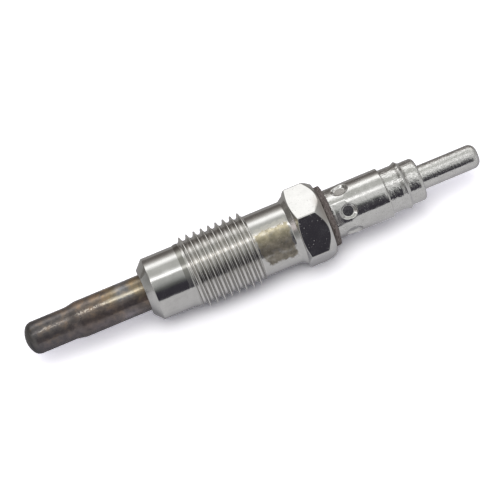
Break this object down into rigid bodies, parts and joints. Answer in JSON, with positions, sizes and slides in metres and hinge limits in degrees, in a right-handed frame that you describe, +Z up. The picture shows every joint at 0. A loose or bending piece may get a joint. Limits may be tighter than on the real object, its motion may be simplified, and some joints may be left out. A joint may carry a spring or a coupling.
{
  "type": "diesel glow plug",
  "caption": "Slim turned metal plug with a heated tube at one end, sealing cone, screw thread, hexagon and a crimped round push-on terminal; heats a diesel engine's chamber for a cold start.",
  "frame": {"origin": "centre of the bounding box on the surface that the plug lies on, below the plug's axis", "axes": "+X along the plug's axis from the hot tip to the terminal pin, +Z up from the hexagon flat that it lies on, +Y to the far side of the picture's view"},
  "size_m": [0.0778, 0.0138, 0.012],
  "materials": {
    "housing_plating": "polished",
    "heat_tinted_steel": "satin",
    "heater_wire": "satin",
    "control_wire": "satin",
    "magnesia": "matte",
    "stud_steel": "satin",
    "seal_rubber": "matte",
    "ring_rubber": "matte",
    "brown_phenolic": "matte",
    "cap_plating": "polished"
  },
  "bodies": {
    "root": {"housing": "housing_plating", "glow_tube": "heat_tinted_steel", "heater_coil": "heater_wire", "control_coil": "control_wire", "insulating_powder": "magnesia", "terminal_stud": "stud_steel", "tube_seal": "seal_rubber", "o_ring": "ring_rubber", "insulating_washer": "brown_phenolic", "terminal_cap": "cap_plating"}
  },
  "joints": []
}
